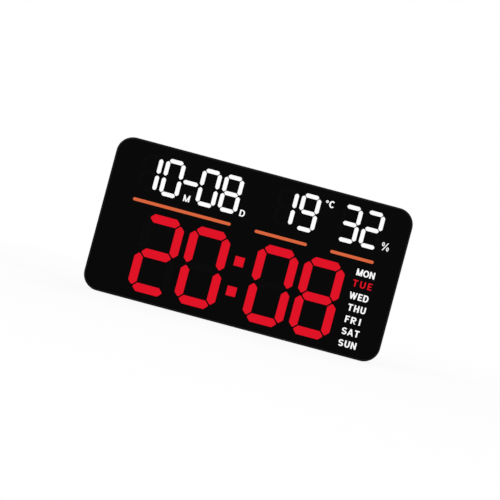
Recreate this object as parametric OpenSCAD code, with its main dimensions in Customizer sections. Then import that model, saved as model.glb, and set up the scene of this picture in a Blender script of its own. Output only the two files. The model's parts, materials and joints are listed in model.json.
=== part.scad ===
// Wall and desk clock with a lit display of time, date, temperature, humidity and weekday.
// Millimetres. Each sub-part is drawn face up on the bench: x to the right, y up the face, z out of the face.
// upright() then stands it up: +Z up, the front towards -Y, the origin under the middle of the case.

/* [Case] */
// Width of the face
case_w = 240; // [216:1:280]
// Height of the face
case_h = 124; // [112:1:150]
// Depth from front to back
case_d = 26; // [23:0.5:34]
// Radius of the four corners of the face
corner_r = 13.25; // [12:0.25:16]
// Wall thickness of the front frame and the rear cover
wall = 2; // [1.7:0.1:2.4]
// Radius of the edge round the back
back_edge_r = 4; // [3:0.5:5]

/* [Front frame and panel] */
// Width of the lip round the panel
lip_w = 1.6; // [1.2:0.1:2.2]
// Width of the ledge behind the panel
ledge_w = 3; // [2.6:0.1:3.4]
// Depth of the front frame, from the front to the seam
frame_d = 7.5; // [6.5:0.5:8.5]
// Thickness of the front panel
panel_t = 2; // [1.6:0.1:2.6]
// How far the panel lies below the lip
panel_recess = 0.3; // [0.1:0.1:0.6]

/* [Time digits] */
// Width of a time digit
digit_w = 32.7; // [28:0.1:35]
// Height of a time digit
digit_h = 62.2; // [54:0.1:63.5]
// Width of one segment of a time digit
digit_stroke = 6.7; // [5:0.1:8]
// Distance between the two digits of a pair
digit_pitch = 37.6; // [37:0.1:39]
// Size of a colon dot
colon_dot = 7.6; // [6:0.1:10]
// Distance between the colon dots
colon_pitch = 24; // [18:0.1:30]

/* [Small digits] */
// Width of a date, temperature or humidity digit
small_w = 15.6; // [14:0.1:16.8]
// Height of a date, temperature or humidity digit
small_h = 29.6; // [26:0.1:31]
// Width of one segment of a small digit
small_stroke = 3.2; // [2.6:0.1:4]
// Distance between the two small digits of a pair
small_pitch = 18; // [17.6:0.1:18.6]
// Thickness of the bars under the small digits
bar_t = 2.4; // [1.8:0.1:3.4]

/* [What the display shows] */
// Hours
hours_shown = 20; // [0:1:23]
// Minutes
minutes_shown = 8; // [0:1:59]
// Month
month_shown = 10; // [1:1:12]
// Day of the month
day_shown = 8; // [1:1:31]
// Temperature in degrees
temperature_shown = 19; // [0:1:49]
// Humidity in per cent
humidity_shown = 32; // [20:1:95]

/* [Light box and board] */
// Depth of the light box behind the panel
light_box_t = 7.5; // [7:0.5:8.5]
// Thickness of the circuit board
board_t = 1.6; // [1.2:0.2:2]

/* [Buttons] */
// Length of a button
button_w = 10; // [8:0.5:12]
// Height of a button
button_h = 6; // [5:0.5:7]
// Distance between buttons
button_pitch = 16; // [15.5:0.5:18]

/* [Feet] */
// Length of a folding foot from its hinge pin
foot_len = 46; // [38:1:50]
// Width of a folding foot
foot_w = 18; // [14:1:22]
// Thickness of a folding foot
foot_t = 3.5; // [3:0.1:3.8]
// How far each foot stands from the side of the case
foot_inset = 38; // [34:1:44]

/* [Wall hooks] */
// Distance between the two keyholes
hook_pitch = 140; // [120:1:150]
// Radius of the round end of a keyhole, for the screw head
hook_head_r = 4; // [3.6:0.1:4.4]
// Width of the narrow end of a keyhole, for the screw shank
hook_slot_w = 4.4; // [3.6:0.1:4.8]

/* [Hidden] */
$fn = 64;
// Extra length of a cutter past the face that it opens
past = 1;
// Gap between a window and the piece in it
window_gap = 0.05;
// Gap round a piece that lifts, slides or swings in an opening
free_gap = 0.3;

// Depth levels, from the front to the back
z_front = case_d / 2;
z_panel = z_front - panel_recess;
z_panel_back = z_panel - panel_t;
tape_t = 0.2;
z_ledge = z_panel_back - tape_t;
ledge_t = 1.5;
z_ledge_back = z_ledge - ledge_t;
z_seam = z_front - frame_d;
z_board = z_panel_back - light_box_t;
z_board_back = z_board - board_t;
boss_past_board = 1;
z_boss = z_board_back - boss_past_board;
z_back = -case_d / 2;
z_inside = z_back + wall;

// Distances from a corner's centre to the faces of the frame there
u_wall = corner_r - wall;
u_lip = corner_r - lip_w;
u_ledge = u_lip - ledge_w;
front_edge_r = 1;
seam_bevel = 0.3;
tongue_l = 2;
tongue_gap = 0.05;

// Screws, and the posts that they hold together
boss_r = 3.3;
boss_inset = [7.4, 12.5];
boss_x = case_w / 2 - boss_inset[0];
boss_y = case_h / 2 - boss_inset[1];
BOSS_PLACES = [for (x = [-boss_x, boss_x], y = [-boss_y, 0, boss_y]) [x, y]];
boss_rib_t = 2;
thread_gap = 0.03;
screw_r = 1.5;
screw_head_r = 2.8;
screw_head_h = 2;
screw_grip = 7;
seat_t = 4;
post_r = 4.6;
z_seat = z_boss - seat_t;
small_screw_r = 1.1;
small_head_r = 2;
small_head_h = 1.3;
small_grip = 4;
cross_share = 0.45;
cross_span = 1.3;
cross_w = 0.7;

// Layout of the face, from its middle
digit_gap = 1.25;
digit_blunt = 0.55;
small_gap = 0.65;
small_blunt = 0.45;
time_x = -68.6;
time_y = -23.25;
pair_pitch = 55.2;
TIME_X = [
    time_x,
    time_x + digit_pitch,
    time_x + digit_pitch + pair_pitch,
    time_x + 2 * digit_pitch + pair_pitch
];
colon_x = -4.4;
month_x = -80.8;
day_x = -33.3;
date_y = 38.2;
dash_gap = 1.2;
temperature_x = 28.9;
humidity_x = 80.7;
climate_y = 39.6;
bar_y = 15.2;
// Each bar's middle and length
BARS = [[-58.05, 79], [22.2, 42.2], [80, 35]];
weekday_count = 7;
weekday_x = 93.5;
weekday_y = 5.05;
weekday_pitch = 9.46;
weekday_well = [17.4, 7];
// Each sign's middle, width and height
SIGN_WELLS = [[-57.1, 26.1, 7, 7], [-12.3, 26.1, 5.8, 7], [52.7, 50.9, 9, 8.2], [103.3, 29.7, 8.2, 8.6]];
well_skin = 0.4;
// The board's screws, and the posts of the rear cover that press on it, between the windows
SCREW_LAYOUT = [[-103, 45], [-103, -50], [-9, 19], [53, 19], [105, 50], [105, -50]];
POST_LAYOUT = [[-96, 40], [96, 40], [-50, -48], [50, -48]];

// Light box and circuit board
light_box_gap = 0.4;
light_box_w = 2 * (boss_x - boss_r - light_box_gap);
light_box_h = case_h - 2 * (lip_w + ledge_w + light_box_gap);
light_box_r = 6;
insert_seat = 1.5;
// How far the layout's outermost pieces reach from its middle, and the margin past them. The layout, with its
// margin, is spread over the light box, and its pieces grow or shrink by the lesser of the two factors.
layout_reach = [
    max([
        weekday_x + weekday_well[0] / 2,
        for (well = SIGN_WELLS) abs(well[0]) + well[2] / 2,
        for (bar = BARS) abs(bar[0]) + bar[1] / 2
    ]),
    max([
        (weekday_count - 1) * weekday_pitch - weekday_y + weekday_well[1] / 2,
        digit_h / 2 - time_y,
        climate_y + small_h / 2,
        for (well = SIGN_WELLS) abs(well[1]) + well[3] / 2
    ])
];
layout_margin = [1.5, 1.79];
spread = [
    light_box_w / 2 / (layout_reach[0] + layout_margin[0]),
    light_box_h / 2 / (layout_reach[1] + layout_margin[1])
];
fit = min(spread[0], spread[1]);
// A style holds a digit's width, height and stroke, its segments' gap and how blunt their points are
LARGE = fit * [digit_w, digit_h, digit_stroke, digit_gap, digit_blunt];
SMALL = fit * [small_w, small_h, small_stroke, small_gap, small_blunt];
dash_l = fit * (day_x - month_x - small_pitch - small_w - 2 * dash_gap);
BOARD_SCREWS = spread_places(SCREW_LAYOUT);
PRESS_POSTS = spread_places(POST_LAYOUT);
press_post_r = 2.5;
tab_w = 18;
tab_y = -30;
tab_gap = 1;
led_size = [2, 1.25, 0.8];
led_step = 0.25;
bar_led_step = 0.35;

// Seven-segment signs: the segments that each digit lights, and where each segment lies in a digit
SEGMENTS_LIT = ["abcdef", "bc", "abdeg", "abcdg", "bcfg", "acdfg", "acdefg", "abc", "abcdefg", "abcdfg"];
SEGMENT_NAMES = ["a", "b", "c", "d", "e", "f", "g"];
SEGMENT_PLACES = [[0, 1], [1, 0.5], [1, -0.5], [0, -1], [-1, -0.5], [-1, 0.5], [0, 0]];

// Pieces on the back of the board
chip_size = [12, 12, 1.6];
driver_size = [18, 7.5, 2.3];
DRIVER_PLACES = [[-45, -34], [45, -34]];
chip_place = [0, -6];
crystal_place = [16, 14];
crystal_l = 11;
crystal_r = 2.2;
crystal_h = 3.5;
capacitor_inset = 9;
capacitor_place = [light_box_w / 2 - capacitor_inset, 14];
capacitor_r = 4;
capacitor_h = 8;
buzzer_place = [-36, -6];
buzzer_r = 6;
buzzer_h = 8.5;
buzzer_port_r = 1.2;
sound_margin = 3;
sound_r = buzzer_r + sound_margin;
sensor_size = [4, 5, 1.5];
vent_count = 6;
vent_pitch = 3.4;
vent_w = 1.6;
vent_l = 8;

// Power inlet, a small flat socket in the right side
socket_size = [8.5, 9, 3.2];
socket_wall = 0.3;
socket_tongue = [5, 6.7, 0.7];
socket_floor = 2;
socket_reach = 0.3;
inlet_size = [12.4, 6.4];
inlet_r = 2;
z_socket = z_board_back - socket_size[2] / 2;

// Buttons and the switches under them
button_drop = 24;
button_y = case_h / 2 - button_drop;
BUTTON_X = [for (i = [0:3]) (i - 1.5) * button_pitch];
button_travel = 0.5;
strip_d = 1.2;
strip_edge = 2.5;
button_wall = 1.8;
button_flange = 1;
flange_gap = 0.1;
flange_reach = 1;
button_sunk = 0.2;
button_round = 0.8;
stem_r = 1.5;
z_button_pad = z_back + strip_d + button_wall;
switch_w = 6;
switch_h = 3.5;
switch_bore_r = 1.85;
plunger_r = 1.75;
plunger_in = 0.9;
switch_spare = 0.4;
switch_bore_l = plunger_in + button_travel + switch_spare;
plunger_out = 2;
z_plunger = z_board_back - switch_h - plunger_out;

// Coin cell, its well and its door
door_size = [40, 27];
door_r = 3;
door_t = 1.8;
door_edge_r = 0.4;
door_sunk = 0.2;
door_rest = 1.6;
door_x = 38;
door_y = -6;
cell_r = 10;
cell_t = 3.2;
cell_offset = 6;
cell_x = door_x - cell_offset;
cell_rim = 1.4;
cell_step = 0.5;
door_screw_offset = 12.5;
door_screw_x = door_x + door_screw_offset;
head_sunk = 0.1;
z_door = z_back + door_sunk;
z_door_in = z_door + door_t;
cell_gap = 0.2;
z_cell = z_door_in + cell_gap;
spring_h = 0.9;
z_well = z_cell + cell_t + spring_h;
well_floor = 1.2;
contact_t = 0.4;
contact_w = 5;
spring_r = 1.25;
door_boss_r = 3.2;
door_screw_gap = 0.3;

// Grooves that give a fingertip a hold on the door and on the feet
grip_count = 3;
grip_pitch = 2.4;
grip_w = 1.2;
grip_d = 0.5;
door_grip_inset = 4;
foot_grip_gap = 3;

// Folding feet
foot_x = case_w / 2 - foot_inset;
pad_proud = 1.2;
pad_set = 0.6;
pad_size = [11, 6];
pad_inset = 2;
pad_edge_r = 0.6;
foot_tip_r = 4;
foot_edge_r = 0.8;
pad_y = foot_len - pad_inset - pad_size[1] / 2;
foot_sunk = 0.2;
z_foot = z_back + foot_sunk + pad_proud;
z_foot_in = z_foot + foot_t;
z_pin = z_foot + foot_t / 2;
knuckle_r = 2.3;
pin_r = 1.2;
pin_gap = 0.05;
pocket_d = 6;
pocket_gap = 0.6;
pin_rise = 6.4;
pin_y = -case_h / 2 + pin_rise;
sill = knuckle_r + free_gap;
// An open foot leans this far past square, so that its pad meets the table. A lip on the sill stops it there.
// The pad meets the table with its round edge, whose centre lies this far from the pin and above the table.
edge_drop = foot_t / 2 + pad_proud - pad_edge_r;
edge_reach = foot_len - pad_inset - pad_edge_r;
edge_fall = pin_rise - pad_edge_r;
foot_lean = asin(edge_fall / norm([edge_reach, edge_drop])) - atan(edge_drop / edge_reach);
stop_gap = 0.1;
stop_t = 0.6;
stop_h = sill - foot_t / 2 * cos(foot_lean) - (z_pin - z_back) * sin(foot_lean) - stop_gap;
finger_room = 7;
foot_rail = 2.2;
foot_web = 1.5;

// Keyholes and the hoods behind them
hook_drop = 33;
hook_y = case_h / 2 - hook_drop;
hook_rise = 9;
hood_d = 6;
hood_t = 1.5;
hood_gap = 1.4;

// Plain shapes

module upright() {
    translate([0, 0, case_h / 2])
        rotate([90, 0, 0])
            children();
}

// Raises a flat shape from depth z0 to depth z1
module layer(z0, z1) {
    translate([0, 0, min(z0, z1)])
        linear_extrude(abs(z1 - z0))
            children();
}

module rounded_rect(w, h, r) {
    square([w - 2 * r, h], center = true);
    square([w, h - 2 * r], center = true);
    for (x = [-1, 1], y = [-1, 1])
        translate([x * (w / 2 - r), y * (h / 2 - r)])
            circle(r);
}

module stadium(w, h) {
    square([w - h, h], center = true);
    for (x = [-1, 1])
        translate([x * (w - h) / 2, 0])
            circle(h / 2);
}

// A plate with round corners, whose edge at depth z0 is rounded
module soft_plate(w, h, r, z0, z1, edge_r) {
    module half_profile(reach) {
        difference() {
            translate([0, z0])
                square([reach, z1 - z0]);
            difference() {
                translate([reach - edge_r, z0 - past])
                    square([edge_r + past, edge_r + past]);
                translate([reach - edge_r, z0 + edge_r])
                    circle(edge_r);
            }
        }
    }
    module bar_along_y(reach, length) {
        rotate([90, 0, 0])
            linear_extrude(length, center = true)
                for (side = [0, 1])
                    mirror([side, 0])
                        half_profile(reach);
    }
    has_corners = h > 2 * r;
    for (x = [-1, 1], y = has_corners ? [-1, 1] : [0])
        translate([x * (w / 2 - r), y * (h / 2 - r), 0])
            rotate_extrude()
                half_profile(r);
    rotate(90)
        bar_along_y(h / 2, w - 2 * r);
    if (has_corners)
        bar_along_y(w / 2, h - 2 * r);
}

function spread_places(places) = [for (p = places) [p[0] * spread[0], p[1] * spread[1]]];

// Moves to a place of the display
module on_display(x, y) {
    translate([x * spread[0], y * spread[1]])
        children();
}

module at_places(places) {
    for (p = places)
        translate(p)
            children();
}

// Sweeps a profile round the case: its x is the distance from a corner's centre and its y is the depth
module round_the_case() {
    cx = case_w / 2 - corner_r;
    cy = case_h / 2 - corner_r;
    for (turn = [0, 180])
        rotate([0, 0, turn]) {
            translate([cx, 0, 0])
                rotate([90, 0, 0])
                    linear_extrude(2 * cy, center = true)
                        children();
            rotate([0, 0, 90])
                translate([cy, 0, 0])
                    rotate([90, 0, 0])
                        linear_extrude(2 * cx, center = true)
                            children();
            translate([cx, cy, 0])
                rotate_extrude(angle = 90)
                    children();
            translate([-cx, cy, 0])
                rotate([0, 0, 90])
                    rotate_extrude(angle = 90)
                        children();
        }
}

// A screw with a cross in its head, its head towards the back and the underside of the head at z = 0
module screw(r, head_r, head_h, grip) {
    difference() {
        union() {
            translate([0, 0, -head_h / 2])
                cylinder(r = r, h = head_h / 2 + grip);
            translate([0, 0, -head_h])
                cylinder(r = head_r, h = head_h);
        }
        layer(-head_h - past, -head_h * (1 - cross_share))
            for (turn = [0, 90])
                rotate(turn)
                    square([cross_span * head_r, cross_w], center = true);
    }
}

// Signs of the display

function digits_of(value) = [floor(value / 10), value % 10];

function is_lit(digit, name) = len(search(name, SEGMENTS_LIT[digit])) > 0;

// One mitred bar of a digit with blunt points, lying along x.
// reach is the distance between the ends of its skeleton.
module segment(reach, stroke, gap, blunt, grow) {
    tip = reach / 2 - gap / sqrt(2) + grow * sqrt(2);
    half = stroke / 2 + grow;
    flat_x = reach / 2 - gap / sqrt(2) - blunt + grow;
    flat_y = tip - flat_x;
    side = tip - half;
    polygon([
        [flat_x, flat_y], [side, half], [-side, half], [-flat_x, flat_y],
        [-flat_x, -flat_y], [-side, -half], [side, -half], [flat_x, -flat_y]
    ]);
}

module segment_at(style, index, grow) {
    skeleton_w = (style[0] - style[2]) / 2;
    skeleton_h = (style[1] - style[2]) / 2;
    place = SEGMENT_PLACES[index];
    is_level = place[0] == 0;
    translate([place[0] * skeleton_w, place[1] * skeleton_h])
        rotate(is_level ? 0 : 90)
            segment(is_level ? 2 * skeleton_w : skeleton_h, style[2], style[3], style[4], grow);
}

module digit(style, value, lit) {
    for (i = [0:len(SEGMENT_NAMES) - 1])
        if (is_lit(value, SEGMENT_NAMES[i]) == lit)
            segment_at(style, i, 0);
}

module digit_windows(style, grow) {
    for (i = [0:len(SEGMENT_NAMES) - 1])
        segment_at(style, i, grow);
}

module small_pair(x, y) {
    for (i = [0, 1])
        on_display(x + (i - 0.5) * small_pitch, y)
            let ($place = i)
                children();
}

module small_digits(x, y, value, lit) {
    small_pair(x, y)
        digit(SMALL, digits_of(value)[$place], lit);
}

module time_digit(index, value, lit) {
    on_display(TIME_X[index], time_y)
        digit(LARGE, value, lit);
}

module colon_squares(grow) {
    for (side = [-1, 1])
        on_display(colon_x, time_y + side * colon_pitch / 2)
            square(fit * colon_dot + 2 * grow, center = true);
}

module dash(grow) {
    on_display((month_x + day_x) / 2, date_y)
        segment(dash_l + 2 * SMALL[4], SMALL[2], 0, SMALL[4], grow);
}

module bars(grow) {
    for (bar = BARS)
        on_display(bar[0], bar_y)
            stadium(bar[1] * spread[0] + 2 * grow, fit * bar_t + 2 * grow);
}

module all_windows(grow) {
    for (x = TIME_X)
        on_display(x, time_y)
            digit_windows(LARGE, grow);
    for (x = [month_x, day_x])
        small_pair(x, date_y)
            digit_windows(SMALL, grow);
    for (x = [temperature_x, humidity_x])
        small_pair(x, climate_y)
            digit_windows(SMALL, grow);
    colon_squares(grow);
    dash(grow);
    bars(grow);
}

module legend_wells(grow) {
    for (i = [0:weekday_count - 1])
        on_display(weekday_x, weekday_y - i * weekday_pitch)
            square(fit * weekday_well + [2 * grow, 2 * grow], center = true);
    for (well = SIGN_WELLS)
        on_display(well[0], well[1])
            square(fit * [well[2], well[3]] + [2 * grow, 2 * grow], center = true);
}

// Stands a lit or dark piece in its window, flush with the panel and seated in the light box
module in_windows() {
    layer(z_panel, z_panel_back - insert_seat)
        children();
}

// Front

module frame_profile() {
    outer_bend = corner_r - front_edge_r;
    tongue_u = u_wall + wall / 2 - tongue_gap;
    polygon([
        [u_lip, z_front], [outer_bend, z_front], [corner_r, z_front - front_edge_r],
        [corner_r, z_seam + seam_bevel], [corner_r - seam_bevel, z_seam], [tongue_u, z_seam],
        [tongue_u, z_seam - tongue_l], [u_wall, z_seam - tongue_l], [u_wall, z_ledge_back],
        [u_ledge, z_ledge_back], [u_ledge, z_ledge], [u_lip, z_ledge]
    ]);
    intersection() {
        translate([outer_bend, z_front - front_edge_r])
            circle(front_edge_r);
        translate([outer_bend, z_front - front_edge_r])
            square(front_edge_r);
    }
}

module frame_bosses() {
    rib_end = case_w / 2 - wall / 2;
    at_places(BOSS_PLACES)
        layer(z_ledge, z_boss)
            circle(boss_r);
    for (p = BOSS_PLACES)
        translate([sign(p[0]) * (boss_x + rib_end) / 2, p[1], 0])
            layer(z_ledge, z_seam)
                square([rib_end - boss_x, boss_rib_t], center = true);
}

module front_frame() {
    color([0.03, 0.03, 0.03])
        upright()
            difference() {
                union() {
                    round_the_case()
                        frame_profile();
                    frame_bosses();
                }
                at_places(BOSS_PLACES)
                    layer(z_boss - past, z_boss + screw_grip - seat_t + past)
                        circle(screw_r + thread_gap);
                inlet_space();
            }
}

module front_panel() {
    slack = 2 * lip_w + 2 * free_gap;
    color([0.01, 0.01, 0.01])
        upright()
            difference() {
                layer(z_panel, z_panel_back)
                    difference() {
                        rounded_rect(case_w - slack, case_h - slack, u_lip - free_gap);
                        all_windows(window_gap);
                    }
                layer(z_panel - well_skin, z_panel_back - past)
                    legend_wells(window_gap);
            }
}

module panel_tape() {
    outer = 2 * lip_w + 2 * free_gap;
    inner = 2 * (lip_w + ledge_w);
    color([0.85, 0.85, 0.82])
        upright()
            layer(z_panel_back, z_ledge)
                difference() {
                    rounded_rect(case_w - outer, case_h - outer, u_lip - free_gap);
                    rounded_rect(case_w - inner, case_h - inner, u_ledge);
                }
}

// Lit pieces

module hour_tens_segments() {
    color([0.88, 0.07, 0.15])
        upright()
            in_windows()
                time_digit(0, digits_of(hours_shown)[0], true);
}

module hour_units_segments() {
    color([0.88, 0.07, 0.15])
        upright()
            in_windows()
                time_digit(1, digits_of(hours_shown)[1], true);
}

module minute_tens_segments() {
    color([0.88, 0.07, 0.15])
        upright()
            in_windows()
                time_digit(2, digits_of(minutes_shown)[0], true);
}

module minute_units_segments() {
    color([0.88, 0.07, 0.15])
        upright()
            in_windows()
                time_digit(3, digits_of(minutes_shown)[1], true);
}

module colon_dots() {
    color([0.88, 0.07, 0.15])
        upright()
            in_windows()
                colon_squares(0);
}

module month_segments() {
    color([1, 1, 1])
        upright()
            in_windows()
                small_digits(month_x, date_y, month_shown, true);
}

module date_dash() {
    color([1, 1, 1])
        upright()
            in_windows()
                dash(0);
}

module day_segments() {
    color([1, 1, 1])
        upright()
            in_windows()
                small_digits(day_x, date_y, day_shown, true);
}

module temperature_segments() {
    color([1, 1, 1])
        upright()
            in_windows()
                small_digits(temperature_x, climate_y, temperature_shown, true);
}

module humidity_segments() {
    color([1, 1, 1])
        upright()
            in_windows()
                small_digits(humidity_x, climate_y, humidity_shown, true);
}

module underline_bars() {
    color([0.86, 0.4, 0.24])
        upright()
            in_windows()
                bars(0);
}

module unlit_segments() {
    time_values = concat(digits_of(hours_shown), digits_of(minutes_shown));
    color([0.05, 0.05, 0.05])
        upright()
            in_windows() {
                for (i = [0:3])
                    time_digit(i, time_values[i], false);
                small_digits(month_x, date_y, month_shown, false);
                small_digits(day_x, date_y, day_shown, false);
                small_digits(temperature_x, climate_y, temperature_shown, false);
                small_digits(humidity_x, climate_y, humidity_shown, false);
            }
}

module legend_diffusers() {
    color([0.9, 0.9, 0.88])
        upright()
            layer(z_panel - well_skin, z_panel_back - insert_seat)
                legend_wells(0);
}

// Light box and board

module light_box() {
    color([0.92, 0.92, 0.9])
        upright()
            difference() {
                layer(z_panel_back, z_board)
                    difference() {
                        rounded_rect(light_box_w, light_box_h, light_box_r);
                        all_windows(window_gap);
                        legend_wells(window_gap);
                    }
                at_places(BOARD_SCREWS)
                    layer(z_board - past, z_board + small_grip - board_t + past / 2)
                        circle(small_screw_r + thread_gap);
            }
}

module board_tabs() {
    reach = case_w / 2 - wall - tab_gap;
    translate([0, tab_y])
        square([2 * reach, tab_w], center = true);
}

module led_board() {
    color([0.02, 0.2, 0.1])
        upright()
            layer(z_board, z_board_back)
                difference() {
                    union() {
                        rounded_rect(light_box_w, light_box_h, light_box_r);
                        board_tabs();
                    }
                    at_places(BOARD_SCREWS)
                        circle(small_screw_r + free_gap / 2);
                }
}

module led() {
    translate([-led_size[0] / 2, -led_size[1] / 2, 0])
        cube(led_size);
}

// Two lamps for each bar of a time digit, along the bar
module time_digit_leds() {
    skeleton_w = (LARGE[0] - LARGE[2]) / 2;
    skeleton_h = (LARGE[1] - LARGE[2]) / 2;
    for (place = SEGMENT_PLACES, step = [-led_step, led_step])
        translate([place[0] * skeleton_w, place[1] * skeleton_h, 0])
            translate(place[0] == 0 ? [step * 2 * skeleton_w, 0, 0] : [0, step * skeleton_h, 0])
                led();
}

// One lamp for each bar of a small digit
module small_digit_leds() {
    skeleton_w = (SMALL[0] - SMALL[2]) / 2;
    skeleton_h = (SMALL[1] - SMALL[2]) / 2;
    for (place = SEGMENT_PLACES)
        translate([place[0] * skeleton_w, place[1] * skeleton_h, 0])
            led();
}

module segment_leds() {
    color([0.9, 0.85, 0.6])
        upright()
            translate([0, 0, z_board]) {
                for (x = TIME_X)
                    on_display(x, time_y)
                        time_digit_leds();
                for (x = [month_x, day_x])
                    small_pair(x, date_y)
                        small_digit_leds();
                for (x = [temperature_x, humidity_x])
                    small_pair(x, climate_y)
                        small_digit_leds();
                for (side = [-1, 1])
                    on_display(colon_x, time_y + side * colon_pitch / 2)
                        led();
                on_display((month_x + day_x) / 2, date_y)
                    led();
                for (bar = BARS, step = [-bar_led_step, 0, bar_led_step])
                    on_display(bar[0] + step * bar[1], bar_y)
                        led();
                for (i = [0:weekday_count - 1], step = [-led_step, led_step])
                    on_display(weekday_x + step * weekday_well[0], weekday_y - i * weekday_pitch)
                        led();
                for (well = SIGN_WELLS)
                    on_display(well[0], well[1])
                        led();
            }
}

module board_screws() {
    color([0.6, 0.6, 0.62])
        upright()
            at_places(BOARD_SCREWS)
                translate([0, 0, z_board_back])
                    screw(small_screw_r, small_head_r, small_head_h, small_grip);
}

// A block on the back of the board
module on_board(place, size) {
    translate([place[0] - size[0] / 2, place[1] - size[1] / 2, z_board_back - size[2]])
        cube(size);
}

module control_chip() {
    color([0.04, 0.04, 0.04])
        upright()
            on_board(chip_place, chip_size);
}

module driver_chips() {
    color([0.04, 0.04, 0.04])
        upright()
            for (p = DRIVER_PLACES)
                on_board(p, driver_size);
}

module clock_crystal() {
    color([0.7, 0.7, 0.72])
        upright()
            translate(crystal_place)
                layer(z_board_back, z_board_back - crystal_h)
                    stadium(crystal_l, 2 * crystal_r);
}

module supply_capacitor() {
    color([0.1, 0.12, 0.3])
        upright()
            translate(capacitor_place)
                layer(z_board_back, z_board_back - capacitor_h)
                    circle(capacitor_r);
}

module climate_sensor() {
    color([0.9, 0.9, 0.92])
        upright()
            on_board([-case_w / 2 + wall + tab_gap + sensor_size[0], tab_y], sensor_size);
}

module buzzer() {
    color([0.05, 0.05, 0.05])
        upright()
            translate(buzzer_place)
                difference() {
                    layer(z_board_back, z_board_back - buzzer_h)
                        circle(buzzer_r);
                    layer(z_board_back - buzzer_h - past, z_board_back - buzzer_h + past)
                        circle(buzzer_port_r);
                }
}

// A flat shape drawn in y and z, run along x from x0 to x1
module along_x(x0, x1) {
    translate([x0, 0, 0])
        rotate([90, 0, 90])
            linear_extrude(x1 - x0)
                children();
}

module power_socket() {
    mouth = case_w / 2 - wall + socket_reach;
    back = mouth - socket_size[0];
    color([0.75, 0.75, 0.77])
        upright()
            translate([0, tab_y, z_socket]) {
                difference() {
                    along_x(back, mouth)
                        rounded_rect(socket_size[1], socket_size[2], socket_size[2] / 2 - socket_wall);
                    along_x(back + socket_floor, mouth + past)
                        rounded_rect(
                            socket_size[1] - 2 * socket_wall,
                            socket_size[2] - 2 * socket_wall,
                            socket_size[2] / 2 - 2 * socket_wall
                        );
                }
                along_x(back + socket_wall, back + socket_floor + socket_tongue[0])
                    square([socket_tongue[1], socket_tongue[2]], center = true);
            }
}

// The opening in the right side that a plug passes
module inlet_space() {
    translate([0, tab_y, z_socket])
        along_x(case_w / 2 - wall - past / 2, case_w / 2 + past)
            rounded_rect(inlet_size[0], inlet_size[1], inlet_r);
}

module switch_housings() {
    color([0.12, 0.12, 0.13])
        upright()
            for (x = BUTTON_X)
                translate([x, button_y, 0])
                    difference() {
                        layer(z_board_back, z_board_back - switch_h)
                            square(switch_w, center = true);
                        layer(z_board_back - switch_h - past, z_board_back - switch_h + switch_bore_l)
                            circle(switch_bore_r);
                    }
}

// Rear cover

module cover_profile() {
    bend = corner_r - back_edge_r;
    rebate_u = u_wall + wall / 2 + tongue_gap;
    z_rebate = z_seam - tongue_l - free_gap;
    inner_cut = back_edge_r / 3;
    polygon([
        [0, z_back], [bend, z_back], [corner_r, z_back + back_edge_r],
        [corner_r, z_seam - seam_bevel], [corner_r - seam_bevel, z_seam], [rebate_u, z_seam],
        [rebate_u, z_rebate], [u_wall, z_rebate], [u_wall, z_inside + inner_cut],
        [u_wall - inner_cut, z_inside], [0, z_inside]
    ]);
    intersection() {
        translate([bend, z_back + back_edge_r])
            circle(back_edge_r);
        translate([bend, z_back])
            square(back_edge_r);
    }
}

module cover_plate() {
    layer(z_back, z_inside)
        square([case_w - 2 * corner_r + past, case_h - 2 * corner_r + past], center = true);
}

module cover_posts() {
    at_places(BOSS_PLACES)
        layer(z_back + wall / 2, z_boss)
            circle(post_r);
    at_places(PRESS_POSTS)
        layer(z_back + wall / 2, z_board_back)
            circle(press_post_r);
}

module cover_post_holes() {
    at_places(BOSS_PLACES) {
        layer(z_back - past, z_seat)
            circle(screw_head_r + free_gap);
        layer(z_seat - past, z_boss + past)
            circle(screw_r + free_gap);
    }
}

module pocket_outline(extra) {
    top = pin_y + foot_len + finger_room;
    bottom = pin_y - sill;
    translate([0, (top + bottom) / 2])
        square([foot_w + 2 * pocket_gap + 2 * extra, top - bottom + 2 * extra], center = true);
}

module foot_pocket_walls() {
    for (side = [-1, 1])
        translate([side * foot_x, 0, 0])
            layer(z_back + wall / 2, z_back + pocket_d + wall)
                pocket_outline(wall);
}

module foot_pocket_spaces() {
    half = foot_w / 2 + pocket_gap + wall;
    for (side = [-1, 1])
        translate([side * foot_x, 0, 0]) {
            difference() {
                layer(z_back - past, z_back + pocket_d)
                    pocket_outline(0);
                translate([-half, pin_y - sill - past, z_back])
                    cube([2 * half, stop_h + past, stop_t]);
            }
            translate([0, pin_y, z_pin])
                along_x(-half - past, half + past)
                    circle(pin_r + thread_gap);
        }
}

module keyhole() {
    circle(hook_head_r);
    translate([-hook_slot_w / 2, 0])
        square([hook_slot_w, hook_rise]);
    translate([0, hook_rise])
        circle(hook_slot_w / 2);
}

module hood_outline(extra) {
    bottom = -hook_head_r - hood_gap - extra;
    top = hook_rise + hook_head_r + hood_gap + extra;
    half = hook_head_r + hood_gap + extra;
    translate([-half, bottom])
        square([2 * half, top - bottom]);
}

module hook_hoods() {
    for (side = [-1, 1])
        translate([side * hook_pitch / 2, hook_y, 0])
            layer(z_back + wall / 2, z_inside + hood_d + hood_t)
                hood_outline(hood_t);
}

module hook_spaces() {
    for (side = [-1, 1])
        translate([side * hook_pitch / 2, hook_y, 0]) {
            layer(z_inside, z_inside + hood_d)
                hood_outline(0);
            layer(z_back - past, z_inside + past)
                keyhole();
        }
}

module strip_outline(extra) {
    translate([0, button_y])
        stadium(
            3 * button_pitch + button_w + 2 * strip_edge + 2 * extra,
            button_h + 2 * strip_edge + 2 * extra
        );
}

module button_strip_pad() {
    layer(z_back + wall / 2, z_button_pad)
        strip_outline(wall);
}

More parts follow.
